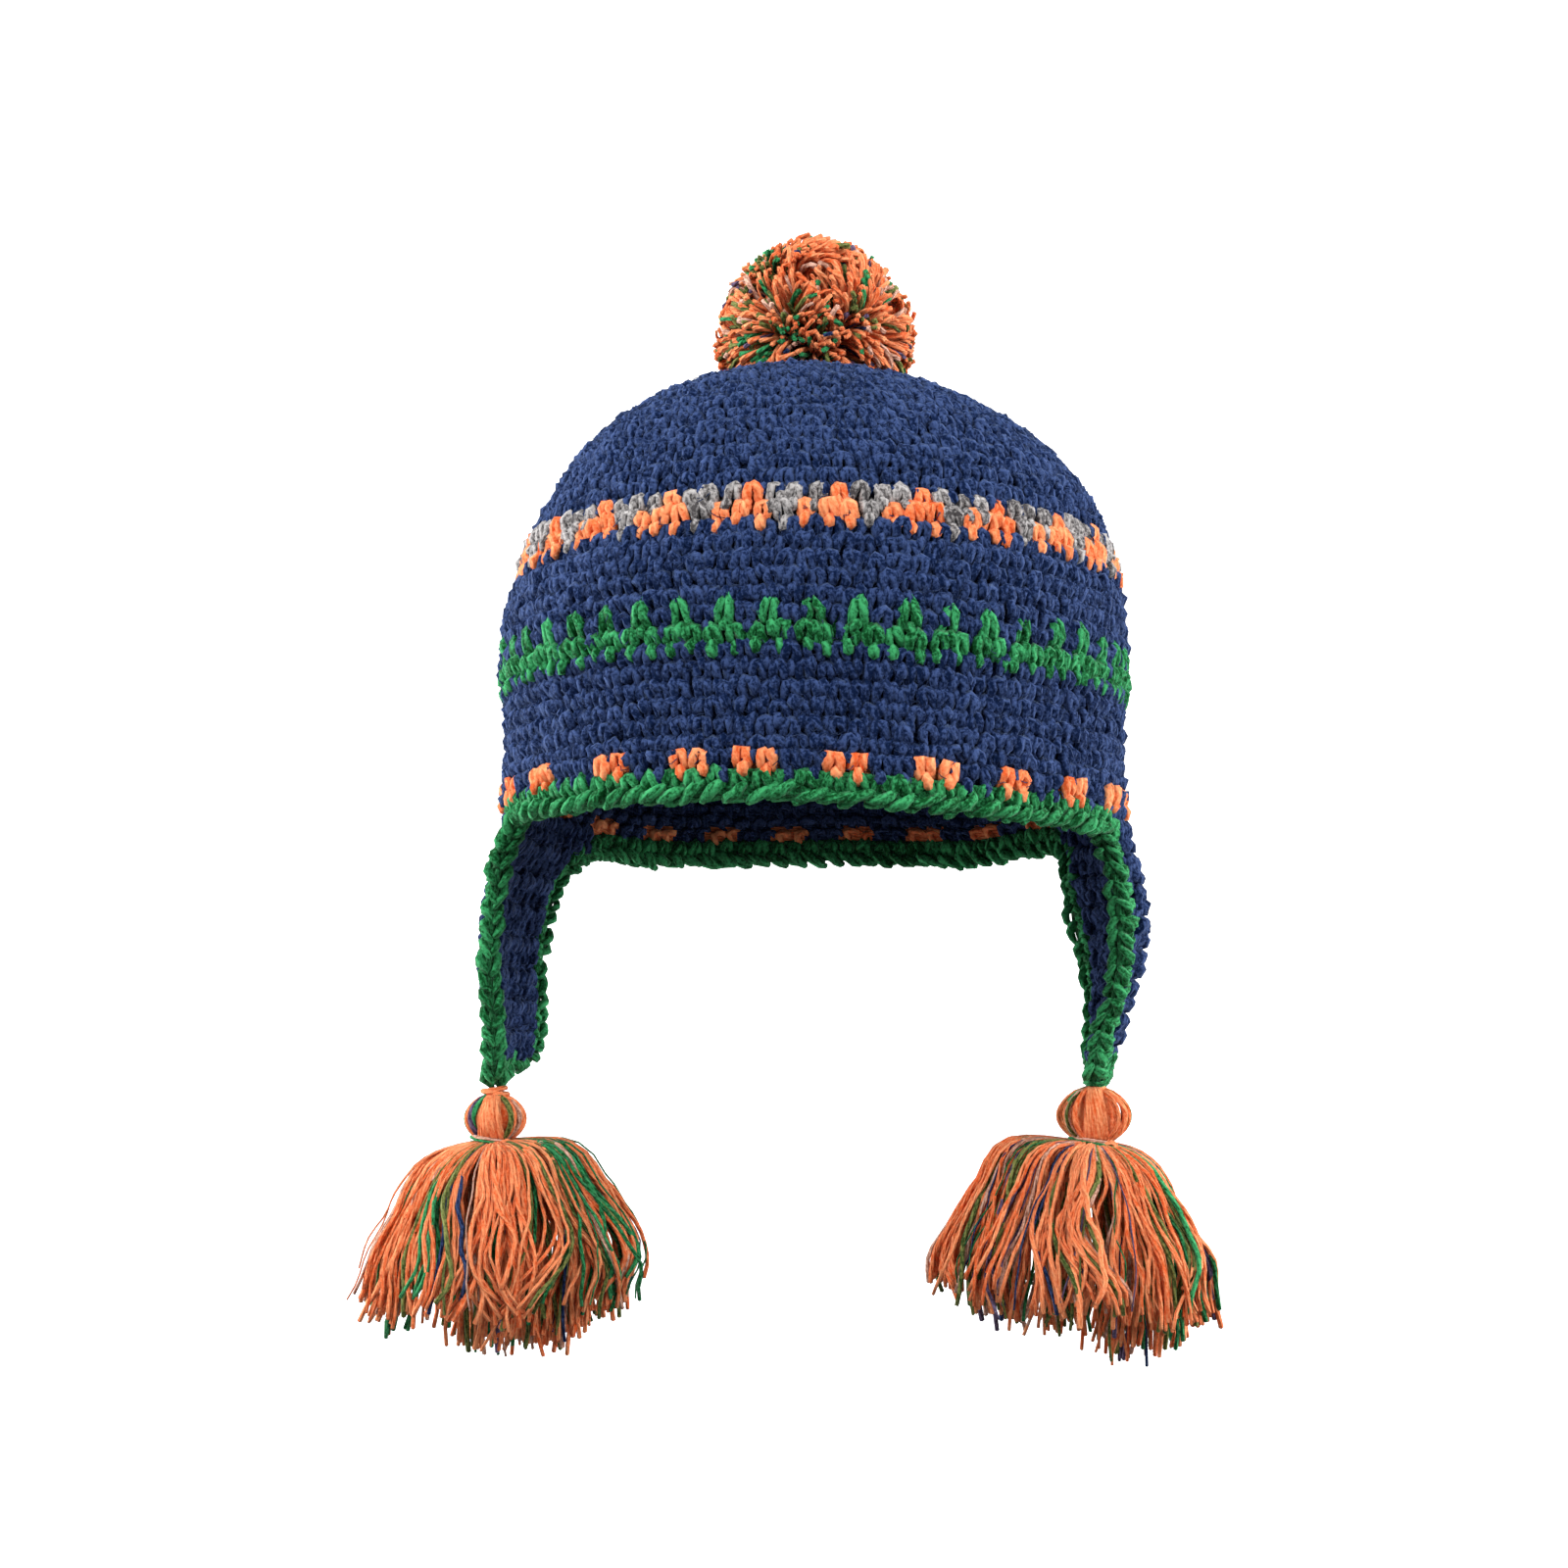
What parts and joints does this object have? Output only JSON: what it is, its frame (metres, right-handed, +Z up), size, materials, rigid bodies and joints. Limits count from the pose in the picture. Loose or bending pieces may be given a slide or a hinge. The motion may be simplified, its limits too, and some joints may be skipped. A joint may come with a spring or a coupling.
{
  "type": "crocheted earflap hat with pompom and tassels",
  "caption": "Crocheted wool hat: an oval dome over an open head hollow, ribbed earflaps with a crocheted edging, a pompom on top and a tied-on tassel at each flap's tip",
  "frame": {"origin": "where the head sits: on the crown's axis, level with the lower edge of the rim", "axes": "+Z up the crown's axis, -Y the wearer's front, +X the wearer's left"},
  "size_m": [0.2489, 0.1972, 0.3205],
  "materials": {
    "navy_wool": "crocheted navy wool with a fine halo of fibres; grey, orange and green rows are worked into it",
    "green_wool": "crocheted green wool edging",
    "mixed_wool": "cut strands of mostly orange yarn, mixed with green, navy and grey"
  },
  "bodies": {
    "root": {"crown": "navy_wool", "earflap_left": "navy_wool", "earflap_right": "navy_wool", "edging": "green_wool", "pompom": "mixed_wool", "tassel_left": "mixed_wool", "tassel_right": "mixed_wool", "tassel_tie_left": "mixed_wool", "tassel_tie_right": "mixed_wool", "tassel_binding_left": "mixed_wool", "tassel_binding_right": "mixed_wool"}
  },
  "joints": []
}
